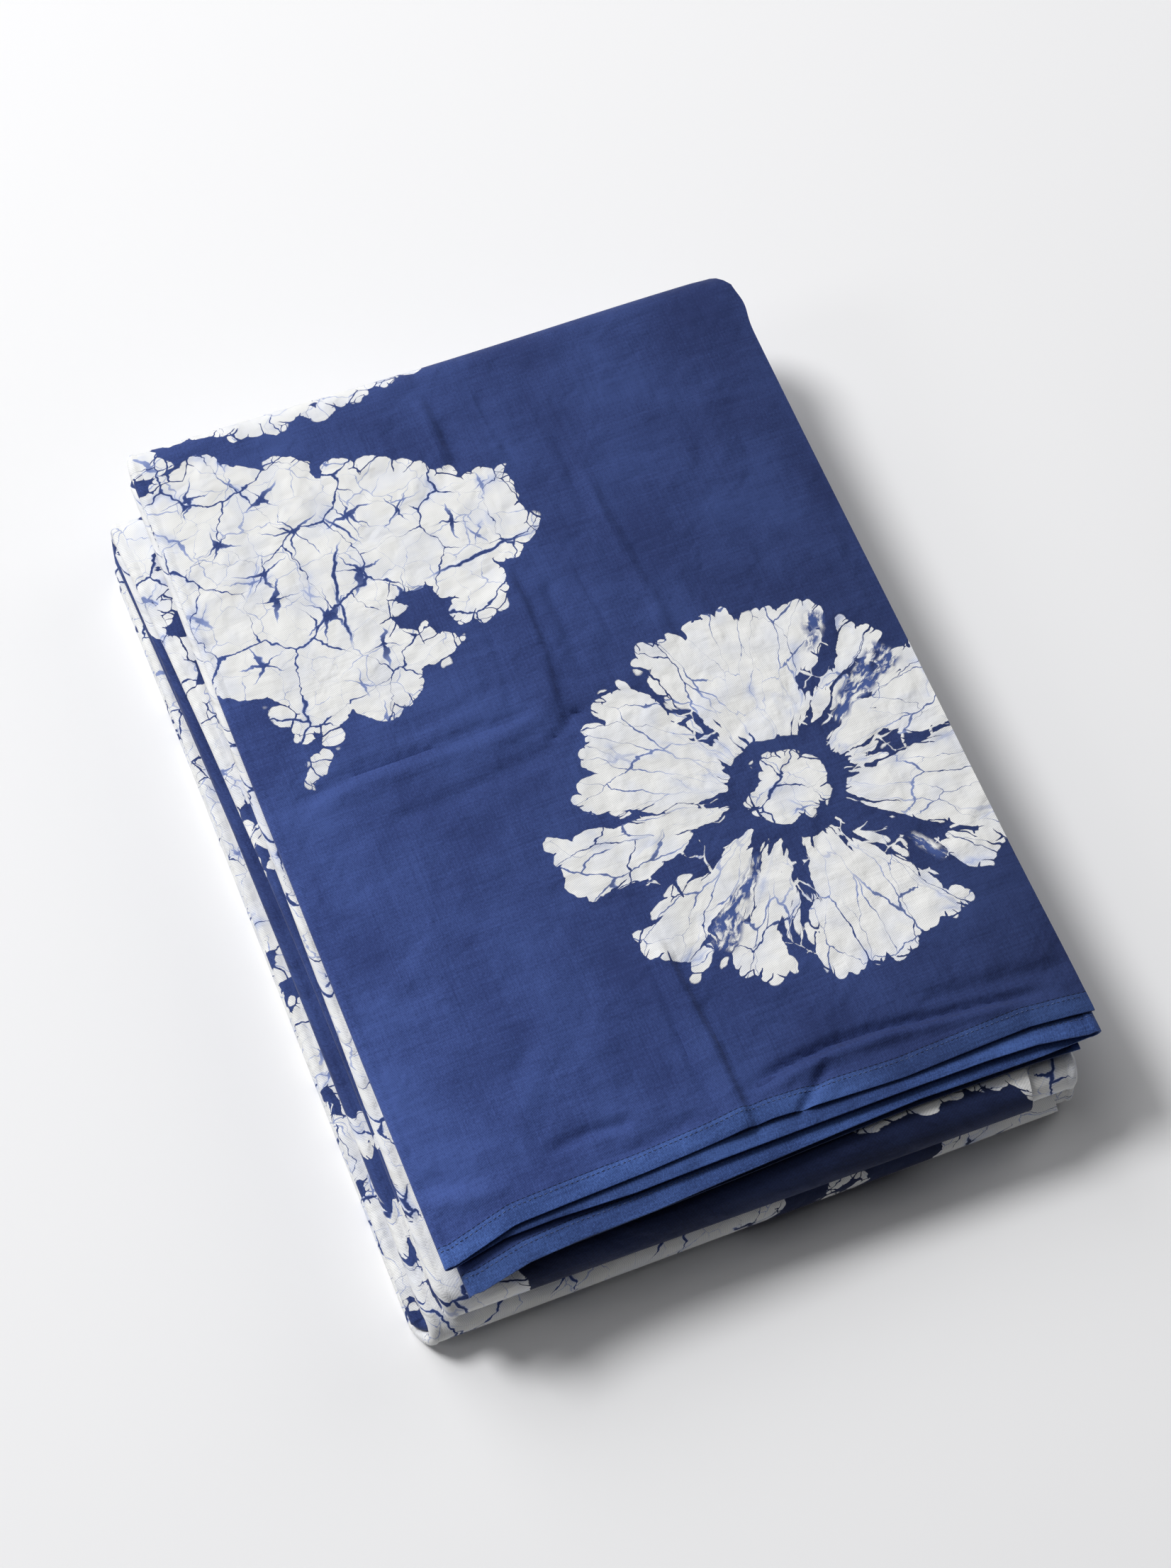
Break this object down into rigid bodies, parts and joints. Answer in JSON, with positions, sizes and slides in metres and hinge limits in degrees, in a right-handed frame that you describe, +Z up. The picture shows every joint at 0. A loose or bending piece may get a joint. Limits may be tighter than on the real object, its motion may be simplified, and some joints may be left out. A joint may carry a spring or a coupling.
{
  "type": "folded sari",
  "caption": "Cotton sari folded lengthwise and crosswise into a flat stack, with hemmed ends on top and resist-dyed white flowers on indigo.",
  "frame": {"origin": "middle of the folded stack's footprint, on the surface that it lies on", "axes": "+X across the stack, +Y along it from the hemmed end to the far fold, +Z up"},
  "size_m": [0.3063, 0.4187, 0.062],
  "materials": {
    "dyed_cotton": "matte cotton weave, resist dyed in indigo and white"
  },
  "bodies": {
    "root": {"sari": "dyed_cotton"}
  },
  "joints": []
}
